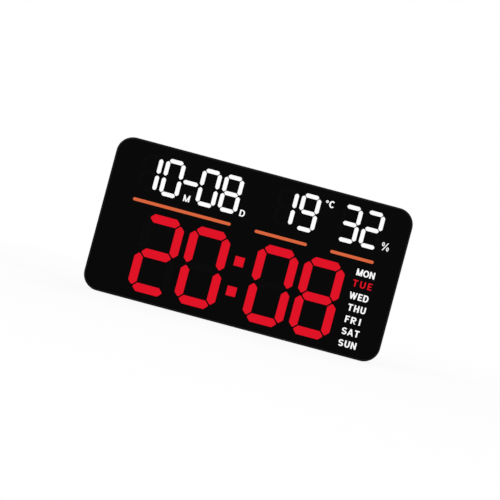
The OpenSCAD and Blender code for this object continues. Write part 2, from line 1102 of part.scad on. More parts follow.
module button_strip_spaces() {
    layer(z_back - past, z_back + strip_d)
        strip_outline(0);
    for (x = BUTTON_X)
        translate([x, button_y, 0])
            layer(z_back - past, z_button_pad + past)
                stadium(button_w + 2 * free_gap, button_h + 2 * free_gap);
}

// The door's outline, grown or shrunk all round
module door_outline(grow) {
    translate([door_x, door_y])
        rounded_rect(door_size[0] + 2 * grow, door_size[1] + 2 * grow, door_r + grow);
}

module battery_well_walls() {
    layer(z_back + wall / 2, z_well + well_floor)
        door_outline(wall);
}

module battery_well_spaces() {
    slot = contact_t + 2 * free_gap;
    layer(z_back - past, z_door_in)
        door_outline(free_gap);
    difference() {
        layer(z_door_in - past, z_well)
            door_outline(-door_rest);
        translate([door_screw_x, door_y, 0])
            layer(z_door_in + door_screw_gap, z_well + past)
                circle(door_boss_r);
    }
    translate([door_screw_x, door_y, 0])
        layer(z_back, z_well)
            circle(small_screw_r + thread_gap);
    for (x = [cell_x - cell_r - contact_t / 2, cell_x])
        translate([x, door_y, 0])
            layer(z_well - past, z_well + well_floor + past)
                square([slot, contact_w + 2 * free_gap], center = true);
}

module sound_slots() {
    slot_rows = 2;
    for (row = [-slot_rows:slot_rows])
        translate([buzzer_place[0], buzzer_place[1] + row * vent_pitch, 0])
            layer(z_back - past, z_inside + past)
                stadium(2 * sqrt(pow(sound_r, 2) - pow(row * vent_pitch, 2)), vent_w);
}

module side_vents() {
    z_vent = z_board_back - boss_past_board - vent_l / 2;
    for (i = [0:vent_count - 1])
        translate([0, tab_y + (i - (vent_count - 1) / 2) * vent_pitch, z_vent])
            along_x(-case_w / 2 - past, -case_w / 2 + wall + past)
                rotate(90)
                    stadium(vent_l, vent_w);
}

module rear_cover() {
    color([0.05, 0.05, 0.05])
        upright()
            difference() {
                union() {
                    round_the_case()
                        cover_profile();
                    cover_plate();
                    cover_posts();
                    foot_pocket_walls();
                    hook_hoods();
                    button_strip_pad();
                    battery_well_walls();
                }
                cover_post_holes();
                foot_pocket_spaces();
                hook_spaces();
                button_strip_spaces();
                battery_well_spaces();
                sound_slots();
                side_vents();
                inlet_space();
            }
}

module cover_screws() {
    color([0.55, 0.55, 0.57])
        upright()
            at_places(BOSS_PLACES)
                translate([0, 0, z_seat])
                    screw(screw_r, screw_head_r, screw_head_h, screw_grip);
}

// Grooves along x, one above the other, cut into a face that looks back from depth z0
module grip_grooves(length, z0) {
    for (i = [0:grip_count - 1])
        translate([0, i * grip_pitch, 0])
            layer(z0 - past, z0 + grip_d)
                stadium(length, grip_w);
}

// Coin cell and its door

module coin_cell() {
    color([0.75, 0.75, 0.77])
        upright()
            translate([cell_x, door_y, 0]) {
                layer(z_cell, z_cell + cell_t - cell_step)
                    circle(cell_r);
                layer(z_cell, z_cell + cell_t)
                    circle(cell_r - cell_rim);
            }
}

module cell_contact_plus() {
    color([0.8, 0.75, 0.6])
        upright()
            translate([cell_x - cell_r - contact_t / 2 - window_gap, door_y, 0])
                layer(z_cell + cell_gap, z_board_back)
                    square([contact_t, contact_w], center = true);
}

module cell_contact_minus() {
    color([0.8, 0.75, 0.6])
        upright()
            translate([cell_x, door_y, 0]) {
                layer(z_well - contact_t, z_well)
                    square([contact_w, contact_w], center = true);
                layer(z_well - spring_h, z_well)
                    circle(spring_r);
                layer(z_well - contact_t, z_board_back)
                    square([contact_t, contact_w], center = true);
            }
}

module battery_door() {
    head_room = small_head_h + head_sunk;
    color([0.06, 0.06, 0.06])
        upright()
            difference() {
                translate([door_x, door_y, 0])
                    soft_plate(door_size[0], door_size[1], door_r, z_door, z_door_in, door_edge_r);
                translate([door_screw_x, door_y, 0]) {
                    layer(z_door - past, z_door + head_room)
                        circle(small_head_r + free_gap);
                    layer(z_door, z_door_in + past)
                        circle(small_screw_r + free_gap);
                }
                translate([door_x - door_size[0] / 2 + door_grip_inset, door_y, 0])
                    rotate(-90)
                        grip_grooves(door_size[1] / 2, z_door);
            }
}

module battery_door_screw() {
    color([0.6, 0.6, 0.62])
        upright()
            translate([door_screw_x, door_y, z_door + small_head_h + head_sunk])
                screw(small_screw_r, small_head_r, small_head_h, small_grip);
}

// Buttons

module button(index) {
    z_flange = z_button_pad + flange_gap;
    color([0.16, 0.16, 0.17])
        upright()
            translate([BUTTON_X[index], button_y, 0]) {
                soft_plate(
                    button_w, button_h, button_h / 2,
                    z_back + button_sunk, z_flange + button_flange / 2, button_round
                );
                layer(z_flange, z_flange + button_flange)
                    stadium(button_w + 2 * flange_reach, button_h + 2 * flange_reach);
                layer(z_flange, z_plunger)
                    circle(stem_r);
            }
}

module plunger(index) {
    color([0.3, 0.3, 0.32])
        upright()
            translate([BUTTON_X[index], button_y, 0])
                layer(z_plunger, z_board_back - switch_h + plunger_in)
                    circle(plunger_r);
}

module set_button() {
    button(0);
}

module up_button() {
    button(1);
}

module down_button() {
    button(2);
}

module alarm_button() {
    button(3);
}

module set_plunger() {
    plunger(0);
}

module up_plunger() {
    plunger(1);
}

module down_plunger() {
    plunger(2);
}

module alarm_plunger() {
    plunger(3);
}

// Feet

// The foot's plate from its hinge line to its tip
module foot_plate() {
    difference() {
        translate([0, (foot_len - foot_tip_r) / 2, 0])
            soft_plate(foot_w, foot_len + foot_tip_r, foot_tip_r, z_foot, z_foot_in, foot_edge_r);
        translate([-foot_w / 2 - past, -foot_len, z_foot - past])
            cube([foot_w + 2 * past, foot_len, foot_t + 2 * past]);
    }
}

module foot_channel() {
    bay_l = (foot_len - knuckle_r - pad_size[1] - 4 * foot_rail) / 2;
    for (i = [0, 1])
        translate([0, knuckle_r + foot_rail + bay_l / 2 + i * (bay_l + foot_rail)])
            square([foot_w - 2 * foot_rail, bay_l], center = true);
}

module foot(side) {
    grip_y = foot_len - pad_inset - pad_size[1] - foot_grip_gap - (grip_count - 1) * grip_pitch;
    color([0.06, 0.06, 0.06])
        upright()
            translate([side * foot_x, pin_y, 0])
                difference() {
                    union() {
                        foot_plate();
                        translate([0, 0, z_pin])
                            along_x(-foot_w / 2, foot_w / 2)
                                circle(knuckle_r);
                    }
                    translate([0, 0, z_pin])
                        along_x(-foot_w / 2 - past, foot_w / 2 + past)
                            circle(pin_r + pin_gap);
                    layer(z_foot + foot_web, z_foot_in + past)
                        foot_channel();
                    translate([0, pad_y, 0])
                        layer(z_foot - past, z_foot + pad_set)
                            stadium(pad_size[0] + 2 * window_gap, pad_size[1] + 2 * window_gap);
                    translate([0, grip_y, 0])
                        grip_grooves(pad_size[0], z_foot);
                }
}

module foot_pad(side) {
    color([0.1, 0.1, 0.1])
        upright()
            translate([side * foot_x, pin_y + pad_y, 0])
                soft_plate(
                    pad_size[0], pad_size[1], pad_size[1] / 2,
                    z_foot - pad_proud, z_foot + pad_set, pad_edge_r
                );
}

module foot_pin(side) {
    half = foot_w / 2 + pocket_gap + wall;
    color([0.7, 0.7, 0.72])
        upright()
            translate([side * foot_x, pin_y, z_pin])
                along_x(-half, half)
                    circle(pin_r);
}

module left_foot() {
    foot(-1);
}

module right_foot() {
    foot(1);
}

module left_foot_pad() {
    foot_pad(-1);
}

module right_foot_pad() {
    foot_pad(1);
}

module left_foot_pin() {
    foot_pin(-1);
}

module right_foot_pin() {
    foot_pin(1);
}

front_frame();
front_panel();
panel_tape();
hour_tens_segments();
hour_units_segments();
minute_tens_segments();
minute_units_segments();
colon_dots();
month_segments();
date_dash();
day_segments();
temperature_segments();
humidity_segments();
underline_bars();
unlit_segments();
legend_diffusers();
light_box();
led_board();
segment_leds();
board_screws();
control_chip();
driver_chips();
clock_crystal();
supply_capacitor();
climate_sensor();
buzzer();
power_socket();
switch_housings();
rear_cover();
cover_screws();
coin_cell();
cell_contact_plus();
cell_contact_minus();
battery_door();
battery_door_screw();
set_button();
up_button();
down_button();
alarm_button();
set_plunger();
up_plunger();
down_plunger();
alarm_plunger();
left_foot();
right_foot();
left_foot_pad();
right_foot_pad();
left_foot_pin();
right_foot_pin();
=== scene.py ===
"""Looks of a digital wall and desk clock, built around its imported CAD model.

Named lengths are in millimetres, apart from the stage's. Boxes read from the model are in metres.
"""

import json
import math

import bpy
from mathutils import Matrix, Vector
from mathutils.geometry import delaunay_2d_cdt


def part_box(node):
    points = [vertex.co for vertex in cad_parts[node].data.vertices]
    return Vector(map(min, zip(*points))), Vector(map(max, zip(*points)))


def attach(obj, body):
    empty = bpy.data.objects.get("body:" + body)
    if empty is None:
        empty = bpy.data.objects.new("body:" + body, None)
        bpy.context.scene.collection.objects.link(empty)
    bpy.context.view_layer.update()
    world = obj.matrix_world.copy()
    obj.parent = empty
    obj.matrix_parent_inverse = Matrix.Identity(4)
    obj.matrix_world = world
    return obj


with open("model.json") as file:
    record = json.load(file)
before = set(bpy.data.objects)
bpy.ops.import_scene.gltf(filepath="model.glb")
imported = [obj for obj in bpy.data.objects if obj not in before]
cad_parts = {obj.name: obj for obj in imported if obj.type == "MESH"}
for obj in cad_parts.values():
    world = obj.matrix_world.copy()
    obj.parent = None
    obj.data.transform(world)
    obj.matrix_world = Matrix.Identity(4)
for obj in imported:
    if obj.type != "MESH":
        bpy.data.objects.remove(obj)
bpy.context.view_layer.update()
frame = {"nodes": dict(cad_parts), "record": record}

MM = 0.001

# Where the photograph shows the face, in pixels
PHOTO_SIZE = 500
FACE_MIDDLE_PX = (247.863, 248.796)
FACE_WIDTH_PX = 306.345
FACE_TURN_DEG = 14.97

# The camera's lens and sensor in millimetres, and how far it sees in metres
CAMERA_LENS = 120
CAMERA_SENSOR = 36
CAMERA_REACH = 20

# Places on the face
case_low, case_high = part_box("front_frame")
face_middle = Vector(((case_low.x + case_high.x) / 2, case_low.y, (case_low.z + case_high.z) / 2))
face_width = case_high.x - case_low.x
panel_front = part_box("front_panel")[0].y

# The frame's polished front lip: its depth, the depth over which the grain of the sides sets in, and how
# much less rough it is than the sides
LIP_DEPTH = 0.8
LIP_BLEND = 0.5
LIP_POLISH = 0.16

# How bright a lit piece is where it is dimmest, beside where it is brightest
DIM_SHARE = 0.96

# How much of the capacitor's width its pale stripe takes
STRIPE_SHARE = 0.2

# Signs: how far they stand proud, the steps of a half turn of their bows, the decimals to which their
# points are rounded, so that strokes that meet share them, and the distance below which two points are one
SIGN_PROUD = 0.06
BOW_STEPS = 20
SNAP_DIGITS = 6
MERGE_DISTANCE = 1e-5


# Shader maths


class Signal:
    """One output of a node. Arithmetic on it adds Math nodes to the same node tree."""

    def __init__(self, nodes, socket):
        self.nodes = nodes
        self.socket = socket

    def maths(self, operation, first, second):
        return self.nodes.add("ShaderNodeMath", {"operation": operation}, {0: first, 1: second})

    def __add__(self, other):
        return self.maths("ADD", self, other)

    def __radd__(self, other):
        return self.maths("ADD", other, self)

    def __sub__(self, other):
        return self.maths("SUBTRACT", self, other)

    def __rsub__(self, other):
        return self.maths("SUBTRACT", other, self)

    def __mul__(self, other):
        return self.maths("MULTIPLY", self, other)

    def __rmul__(self, other):
        return self.maths("MULTIPLY", other, self)

    def __gt__(self, other):
        return self.maths("GREATER_THAN", self, other)


class NodeTree:
    """Adds nodes to the node tree of a material or of the world."""

    def __init__(self, owner):
        owner.use_nodes = True
        self.tree = owner.node_tree

    def add(self, kind, settings=None, sockets=None, output=0):
        node = self.tree.nodes.new(kind)
        for name, value in (settings or {}).items():
            setattr(node, name, value)
        self.feed(node, sockets or {})
        return Signal(self, node.outputs[output])

    def feed(self, node, sockets):
        for name, value in sockets.items():
            if isinstance(value, Signal):
                self.tree.links.new(value.socket, node.inputs[name])
            else:
                node.inputs[name].default_value = value


class Finish(NodeTree):
    """A material around one Principled shader."""

    def __init__(self, name):
        self.material = bpy.data.materials.new(name)
        super().__init__(self.material)
        self.shader = self.tree.nodes["Principled BSDF"]
        place = self.add("ShaderNodeTexCoord", output="Object")
        self.place = self.scaled(place, 1 / MM)

    def scaled(self, vector, factor):
        return self.add("ShaderNodeVectorMath", {"operation": "SCALE"}, {0: vector, "Scale": factor})

    def stretched(self, factors):
        return self.add("ShaderNodeVectorMath", {"operation": "MULTIPLY"}, {0: self.place, 1: factors})

    def axis(self, name):
        return self.add("ShaderNodeSeparateXYZ", sockets={0: self.place}, output=name)

    def noise(self, per_mm, detail=3.0, vector=None):
        sockets = {"Vector": vector or self.place, "Scale": per_mm, "Detail": detail}
        return self.add("ShaderNodeTexNoise", sockets=sockets)

    def grains(self, per_mm):
        return self.add("ShaderNodeTexVoronoi", sockets={"Vector": self.place, "Scale": per_mm})

    def spread(self, signal, low, high, start=0.3, end=0.7):
        sockets = {"Value": signal, "From Min": start, "From Max": end, "To Min": low, "To Max": high}
        return self.add("ShaderNodeMapRange", sockets=sockets)

    def mix(self, factor, first, second):
        sockets = {0: factor, 6: opaque(first), 7: opaque(second)}
        return self.add("ShaderNodeMix", {"data_type": "RGBA"}, sockets, output=2)

    def bump(self, height, strength, depth):
        sockets = {"Height": height, "Strength": strength, "Distance": depth * MM}
        return self.add("ShaderNodeBump", sockets=sockets)

    def paint(self, **sockets):
        self.feed(self.shader, {name.replace("_", " "): value for name, value in sockets.items()})
        return self.material


def opaque(colour):
    return colour if isinstance(colour, Signal) else (*colour, 1.0)


def grey(level):
    return (level, level, level)


# Finishes


def panel_black():
    finish = Finish("panel_black")
    smudges = finish.noise(0.05)
    dust = finish.noise(2.0)
    return finish.paint(
        Base_Color=finish.mix(finish.spread(dust, 0, 1), grey(0.0012), grey(0.0022)),
        Roughness=finish.spread(smudges, 0.16, 0.24),
        Specular_IOR_Level=0.02,
        Normal=finish.bump(smudges, 0.02, 0.2),
    )


def frame_satin():
    """Polished at the front lip, with the cover's grain on the sides."""
    finish = Finish("frame_satin")
    grain = finish.grains(1.6)
    handling = finish.noise(0.08)
    lip_end = case_low.y / MM + LIP_DEPTH
    side = finish.spread(finish.axis("Y"), 0, 1, lip_end, lip_end + LIP_BLEND)
    side_colour = finish.mix(finish.spread(grain, 0, 1), grey(0.013), grey(0.022))
    return finish.paint(
        Base_Color=finish.mix(side, grey(0.002), side_colour),
        Roughness=finish.spread(handling, 0.5, 0.56) - LIP_POLISH * (1 - side),
        Specular_IOR_Level=0.1,
        Normal=finish.bump(grain * side, 0.3, 0.06),
    )


def cover_textured():
    finish = Finish("cover_textured")
    grain = finish.grains(1.6)
    fine = finish.noise(5.0)
    handling = finish.noise(0.04)
    height = grain + 0.4 * fine
    return finish.paint(
        Base_Color=finish.mix(finish.spread(height, 0, 1, 0.3, 0.8), grey(0.007), grey(0.024)),
        Roughness=finish.spread(handling, 0.42, 0.54) + 0.08 * fine,
        Specular_IOR_Level=0.25,
        Normal=finish.bump(height, 0.55, 0.12),
    )


def lit_diffuser(name, colour):
    finish = Finish(name)
    cloud = finish.noise(0.25, detail=2.0)
    speckle = finish.noise(4.0)
    dim = tuple(DIM_SHARE * part for part in colour)
    level = finish.spread(cloud, 0, 0.8) + 0.2 * speckle
    return finish.paint(
        Base_Color=finish.mix(speckle, grey(0.0005), grey(0.0015)),
        Emission_Color=finish.mix(level, dim, colour),
        Emission_Strength=1.0,
        Roughness=finish.spread(cloud, 0.3, 0.4),
        Specular_IOR_Level=0.02,
    )


def dark_diffuser():
    finish = Finish("dark_diffuser")
    cloud = finish.noise(0.3)
    return finish.paint(
        Base_Color=finish.mix(finish.spread(cloud, 0, 1), grey(0.0018), grey(0.0028)),
        Roughness=finish.spread(cloud, 0.3, 0.4),
        Specular_IOR_Level=0.02,
    )


def white_plastic():
    finish = Finish("white_plastic")
    flow = finish.noise(0.06)
    grain = finish.noise(4.0)
    return finish.paint(
        Base_Color=finish.mix(finish.spread(flow, 0, 1), (0.8, 0.8, 0.77), (0.86, 0.86, 0.84)),
        Roughness=finish.spread(grain, 0.45, 0.55),
        Normal=finish.bump(grain, 0.08, 0.03),
    )


def solder_mask():
    finish = Finish("solder_mask")
    track_settings = {"wave_type": "BANDS", "bands_direction": "Z"}
    track_sockets = {"Vector": finish.place, "Scale": 0.2, "Distortion": 3.0, "Detail": 0.0}
    tracks = finish.add("ShaderNodeTexWave", track_settings, track_sockets, output="Fac")
    raised = finish.spread(tracks, 0, 1, 0.55, 0.62)
    weave = finish.noise(2.5)
    return finish.paint(
        Base_Color=finish.mix(raised, (0.006, 0.06, 0.03), (0.012, 0.1, 0.05)),
        Roughness=finish.spread(weave, 0.3, 0.4),
        Normal=finish.bump(raised, 0.3, 0.04),
    )


def plated_steel():
    finish = Finish("plated_steel")
    brushing = finish.noise(1.0, vector=finish.stretched((0.25, 16.0, 16.0)))
    stains = finish.noise(0.4)
    return finish.paint(
        Base_Color=finish.mix(finish.spread(stains, 0, 1), (0.33, 0.33, 0.34), (0.41, 0.41, 0.42)),
        Metallic=1.0,
        Roughness=finish.spread(brushing, 0.27, 0.37),
        Normal=finish.bump(brushing, 0.05, 0.01),
    )


def spring_plating():
    finish = Finish("spring_plating")
    brushing = finish.noise(1.0, vector=finish.stretched((6.0, 0.5, 6.0)))
    return finish.paint(
        Base_Color=finish.mix(finish.spread(brushing, 0, 1), (0.6, 0.52, 0.34), (0.74, 0.67, 0.48)),
        Metallic=1.0,
        Roughness=finish.spread(brushing, 0.25, 0.4),
    )


def moulded_chip():
    finish = Finish("moulded_chip")
    grain = finish.noise(6.0)
    return finish.paint(
        Base_Color=finish.mix(finish.spread(grain, 0, 1), grey(0.012), grey(0.024)),
        Roughness=finish.spread(grain, 0.5, 0.65),
        Normal=finish.bump(grain, 0.2, 0.03),
    )


def capacitor_sleeve():
    finish = Finish("capacitor_sleeve")
    low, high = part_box("supply_capacitor")
    stripe_edge = (low.x + STRIPE_SHARE * (high.x - low.x)) / MM
    sleeve = finish.axis("X") > stripe_edge
    shrink = finish.noise(1.5)
    return finish.paint(
        Base_Color=finish.mix(sleeve, (0.5, 0.52, 0.55), (0.012, 0.018, 0.08)),
        Roughness=finish.spread(shrink, 0.3, 0.45),
        Normal=finish.bump(shrink, 0.1, 0.05),
    )


def lamp_resin():
    finish = Finish("lamp_resin")
    phosphor = finish.noise(3.0)
    return finish.paint(
        Base_Color=finish.mix(finish.spread(phosphor, 0, 1), (0.78, 0.62, 0.22), (0.85, 0.8, 0.6)),
        Roughness=finish.spread(phosphor, 0.2, 0.3),
    )


def key_satin():
    finish = Finish("key_satin")
    grain = finish.noise(4.0)
    wear = finish.noise(0.4)
    return finish.paint(
        Base_Color=finish.mix(finish.spread(wear, 0, 1), grey(0.045), grey(0.06)),
        Roughness=finish.spread(wear, 0.4, 0.5) + 0.06 * grain,
        Normal=finish.bump(grain, 0.15, 0.04),
    )


def pad_rubber():
    finish = Finish("pad_rubber")
    grain = finish.noise(3.0, detail=5.0)
    return finish.paint(
        Base_Color=finish.mix(finish.spread(grain, 0, 1), grey(0.010), grey(0.018)),
        Roughness=finish.spread(grain, 0.75, 0.9),
        Specular_IOR_Level=0.3,
        Normal=finish.bump(grain, 0.35, 0.08),
    )


def foam_tape():
    finish = Finish("foam_tape")
    cells = finish.grains(3.0)
    return finish.paint(
        Base_Color=finish.mix(cells, (0.5, 0.5, 0.47), (0.66, 0.66, 0.63)),
        Roughness=finish.spread(cells, 0.8, 0.95),
        Normal=finish.bump(cells, 0.3, 0.1),
    )


RED = (0.755, 0.0045, 0.018)
WHITE = (1.0, 1.0, 1.0)
ORANGE = (0.701, 0.133, 0.048)

FINISHES = {
    "frame_plastic": frame_satin(),
    "panel_plastic": panel_black(),
    "tape": foam_tape(),
    "red_light": lit_diffuser("red_light", RED),
    "white_light": lit_diffuser("white_light", WHITE),
    "orange_light": lit_diffuser("orange_light", ORANGE),
    "dark_window": dark_diffuser(),
    "diffuser": white_plastic(),
    "board": solder_mask(),
    "lamp": lamp_resin(),
    "steel": plated_steel(),
    "chip": moulded_chip(),
    "capacitor": capacitor_sleeve(),
    "cover_plastic": cover_textured(),
    "contact": spring_plating(),
    "button_plastic": key_satin(),
    "pad_rubber": pad_rubber(),
}


def dress_nodes():
    for subpart in frame["record"]["subparts"]:
        node = frame["nodes"][subpart["node"]]
        node.data.materials.clear()
        node.data.materials.append(FINISHES[subpart["material_slot"]])


# Strokes of the signs. Each is a list of corners, anticlockwise, with x to the right and y up.


def bar(x0, y0, x1, y1):
    return [(x0, y0), (x1, y0), (x1, y1), (x0, y1)]


def slant(x_low, x_high, y0, y1, width):
    return [(x_low, y0), (x_low + width, y0), (x_high + width, y1), (x_high, y1)]


def oval(middle, radii, start, end):
    """Points on an oval between two angles in degrees."""
    steps = math.ceil(BOW_STEPS * (end - start) / 180)
    turns = [math.radians(start + (end - start) * i / steps) for i in range(steps + 1)]
    return [(middle[0] + radii[0] * math.cos(turn), middle[1] + radii[1] * math.sin(turn)) for turn in turns]


def bow(middle, radii, start, end, side, level):
    """Part of an oval ring, between two angles in degrees. It is side wide at its sides and level wide
    at its top and bottom."""
    inner_radii = (radii[0] - side, radii[1] - level)
    return oval(middle, radii, start, end) + oval(middle, inner_radii, start, end)[::-1]


def ring(middle, radii, side, level):
    return [bow(middle, radii, 0, 180, side, level), bow(middle, radii, 180, 360, side, level)]


def circle(middle, radius, stroke):
    return ring(middle, (radius, radius), stroke, stroke)


# A letter's level and slanted strokes beside its upright ones
LEVEL_SHARE = 0.82
SLANT_SHARE = 0.9
# Beside a letter's width: how long the middle arm of E and F is, and how far in the bar of A, the leg of R
# and the feet of W start
ARM_SHARE = 0.88
INSET_SHARE = 0.22
# How high the bar of A lies beside the letter's height
CROSSING_SHARE = 0.2
# Where the ends of C and S stop, in degrees from the level
C_MOUTH = 42
S_HOOK = 25


def letter(sign, width, height, stem):
    """Strokes of one letter, with upright strokes as wide as stem."""
    level = LEVEL_SHARE * stem
    slope = SLANT_SHARE * stem
    half = width / 2
    # The middle of the letter, which also holds the radii of an oval that fills it
    middle = (half, height / 2)
    rise = (height - level) / 2
    peak = (width - slope) / 2
    inset = INSET_SHARE * width
    crossing = CROSSING_SHARE * height
    lobe = (height + level) / 4
    left = bar(0, 0, stem, height)
    right = bar(width - stem, 0, width, height)
    upright = bar((width - stem) / 2, 0, (width + stem) / 2, height)
    top = bar(0, height - level, width, height)
    arm = bar(0, rise, ARM_SHARE * width, rise + level)
    foot = bar(0, 0, width, level)
    strokes = {
        "A": [
            slant(0, peak, 0, height, slope),
            slant(width - slope, peak, 0, height, slope),
            bar(inset, crossing, width - inset, crossing + level),
        ],
        "C": [bow(middle, middle, C_MOUTH, 360 - C_MOUTH, stem, level)],
        "D": [
            left,
            bar(0, height - level, half, height),
            bar(0, 0, half, level),
            bow(middle, middle, -90, 90, stem, level),
        ],
        "E": [left, top, arm, foot],
        "F": [left, top, arm],
        "H": [left, right, bar(0, rise, width, rise + level)],
        "I": [upright],
        "M": [
            left,
            right,
            slant(peak, 0, 0, height, slope),
            slant(peak, width - slope, 0, height, slope),
        ],
        "N": [left, right, slant(width - slope, 0, 0, height, slope)],
        "O": ring(middle, middle, stem, level),
        "R": [
            left,
            bar(0, height - level, width - lobe, height),
            bar(0, rise, width - lobe, rise + level),
            bow((width - lobe, height - lobe), (lobe, lobe), -90, 90, stem, level),
            slant(width - slope, inset, 0, rise + level / 2, slope),
        ],
        "S": [
            bow((half, height - lobe), (half, lobe), S_HOOK, 270, stem, level),
            bow((half, lobe), (half, lobe), 180 + S_HOOK, 450, stem, level),
        ],
        "T": [top, upright],
        "U": [
            bar(0, half, stem, height),
            bar(width - stem, half, width, height),
            bow((half, half), (half, half), 180, 360, stem, level),
        ],
        "W": [
            slant(inset, 0, 0, height, slope),
            slant(inset, peak, 0, height, slope),
            slant(width - inset - slope, peak, 0, height, slope),
            slant(width - inset - slope, width - slope, 0, height, slope),
        ],
    }
    return strokes[sign]


# How wide each letter is beside the others
LETTER_WIDTHS = {
    "A": 1.14, "C": 1.0, "D": 1.0, "E": 0.8, "F": 0.75, "H": 1.0, "I": 0.75, "M": 1.2,
    "N": 1.03, "O": 1.2, "R": 0.95, "S": 1.0, "T": 0.95, "U": 1.02, "W": 1.5,
}


def moved(strokes, x, y):
    return [[(px + x, py + y) for px, py in stroke] for stroke in strokes]


def word(text, x0, x1, y0, y1, stroke, gap=0):
    """Strokes of a word that fills the box from x0, y0 to x1, y1, with gap between its letters."""
    shares = [LETTER_WIDTHS[sign] for sign in text]
    unit = (x1 - x0 - gap * (len(text) - 1)) / sum(shares)
    strokes = []
    x = x0
    for sign, share in zip(text, shares):
        strokes += moved(letter(sign, share * unit, y1 - y0, stroke), x, y0)
        x += share * unit + gap
    return strokes


def per_cent(x0, x1, y0, y1, stroke):
    width = x1 - x0
    height = y1 - y0
    across = 0.17 * width
    up = 0.25 * height
    ring_stroke = 0.76 * stroke
    slash_low = 0.13 * width
    slash_high = 0.7 * width
    strokes = ring((across, height - up), (across, up), ring_stroke, ring_stroke)
    strokes += ring((width - across, up), (across, up), ring_stroke, ring_stroke)
    strokes.append(slant(slash_low, slash_high, 0, height, stroke))
    return moved(strokes, x0, y0)


# Signs

# Asks delaunay_2d_cdt for triangles all over the hull of the strokes
HULL_TRIANGLES = 0


def joined(strokes):
    """One flat outline without overlaps: its points, and triangles between them."""
    corners = []
    outlines = []
    for stroke in strokes:
        outlines.append([len(corners) + i for i in range(len(stroke))])
        corners += [Vector((round(x, SNAP_DIGITS), round(y, SNAP_DIGITS))) for x, y in stroke]
    made = delaunay_2d_cdt(corners, [], outlines, HULL_TRIANGLES, MERGE_DISTANCE)
    points, _, triangles, _, _, covering = made
    inside = [list(triangle) for triangle, strokes_over in zip(triangles, covering) if strokes_over]
    return points, inside


def plate(name, strokes, place, thickness):
    """A thin closed plate of the strokes. place carries x, y and the outward direction to the model."""
    points, faces = joined(strokes)
    count = len(points)
    corners = [place @ Vector((point.x, point.y, thickness)) for point in points]
    corners += [place @ Vector((point.x, point.y, 0)) for point in points]
    edges = {(face[i - 1], face[i]) for face in faces for i in range(len(face))}
    rim = [(start, end) for start, end in edges if (end, start) not in edges]
    walls = [(end, start, start + count, end + count) for start, end in sorted(rim)]
    undersides = [[i + count for i in reversed(face)] for face in faces]
    mesh = bpy.data.meshes.new(name)
    mesh.from_pydata(corners, [], faces + undersides + walls)
    piece = bpy.data.objects.new(name, mesh)
    bpy.context.scene.collection.objects.link(piece)
    return piece


def axes(right, up, out, origin):
    """Carries x, y and the outward direction, in millimetres, to the model."""
    turn = Matrix((right, up, out)).transposed().to_4x4() @ Matrix.Scale(MM, 4)
    return Matrix.Translation(origin) @ turn


on_panel = axes((1, 0, 0), (0, 0, 1), (0, -1, 0), (face_middle.x, panel_front, face_middle.z))


def add_sign(name, strokes, place, body, slot):
    piece = plate(name, strokes, place, SIGN_PROUD)
    piece.data.materials.append(FINISHES[slot])
    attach(piece, body)


# The weekday that is lit red, and the height of the weekdays' words
TODAY = "TUE"
WEEKDAY_H = 5.4
# Stroke widths of the signs on the face
TODAY_STROKE = 1.02
WEEKDAY_STROKE = 1.2
UNIT_STROKE = 1.1
CELSIUS_STROKE = 1.25
DEGREE_STROKE = 0.72
PER_CENT_STROKE = 0.88

# Places on the face are measured from its middle
# Each unit sign's left and right end, bottom and top
MONTH_BOX = (-59.5, -54.5, 23.4, 28.6)
DAY_BOX = (-14.0, -9.8, 23.4, 28.6)
CELSIUS_BOX = (52.1, 56.6, 48.0, 53.6)
PER_CENT_BOX = (100.2, 106.3, 26.4, 32.8)
DEGREE_MIDDLE = (50.25, 52.15)
DEGREE_RADIUS = 1.08
# Each weekday's word: its left and right end, its middle's height and the gap between its letters
WEEKDAYS = {
    "MON": (86.6, 101.2, 5.05, 0.45),
    "TUE": (85.8, 101.3, -4.0, 1.95),
    "WED": (85.7, 101.1, -13.9, 0.85),
    "THU": (87.0, 101.3, -23.3, 1.2),
    "FRI": (87.3, 100.8, -32.8, 1.4),
    "SAT": (87.1, 101.1, -42.3, 0.8),
    "SUN": (86.9, 101.2, -51.9, 1.0),
}


def add_weekdays():
    for text, (x0, x1, middle, gap) in WEEKDAYS.items():
        is_today = text == TODAY
        stroke = TODAY_STROKE if is_today else WEEKDAY_STROKE
        slot = "red_light" if is_today else "white_light"
        strokes = word(text, x0, x1, middle - WEEKDAY_H / 2, middle + WEEKDAY_H / 2, stroke, gap)
        add_sign(f"weekday_{text.lower()}", strokes, on_panel, "case", slot)


def add_units():
    units = {
        "month_unit": word("M", *MONTH_BOX, UNIT_STROKE),
        "day_unit": word("D", *DAY_BOX, UNIT_STROKE),
        "temperature_unit": word("C", *CELSIUS_BOX, CELSIUS_STROKE),
        "humidity_unit": per_cent(*PER_CENT_BOX, PER_CENT_STROKE),
    }
    units["temperature_unit"] += circle(DEGREE_MIDDLE, DEGREE_RADIUS, DEGREE_STROKE)
    for name, strokes in units.items():
        add_sign(name, strokes, on_panel, "case", "white_light")


def key_place(node):
    """Carries a mark to the middle of a button's outer face."""
    low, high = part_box(node)
    return axes((-1, 0, 0), (0, 0, 1), (0, 1, 0), ((low.x + high.x) / 2, high.y, (low.z + high.z) / 2))


# The size of the marks on the buttons, as a radius, and the stroke of the ring on the set button
KEY_MARK = 1.1
SET_STROKE = 0.45


def bell():
    shoulder = 0.62 * KEY_MARK
    skirt = 0.95 * KEY_MARK
    rim = 1.15 * KEY_MARK
    rim_low = -0.75 * KEY_MARK
    rim_high = -0.55 * KEY_MARK
    clapper_r = 0.35 * KEY_MARK
    dome = oval((0, 0), (shoulder, KEY_MARK), 0, 180)
    side = [(-skirt, rim_high), (skirt, rim_high), (shoulder, 0), (-shoulder, 0)]
    clapper = oval((0, rim_low), (clapper_r, clapper_r), 180, 360)
    return [dome, side, bar(-rim, rim_low, rim, rim_high), clapper]


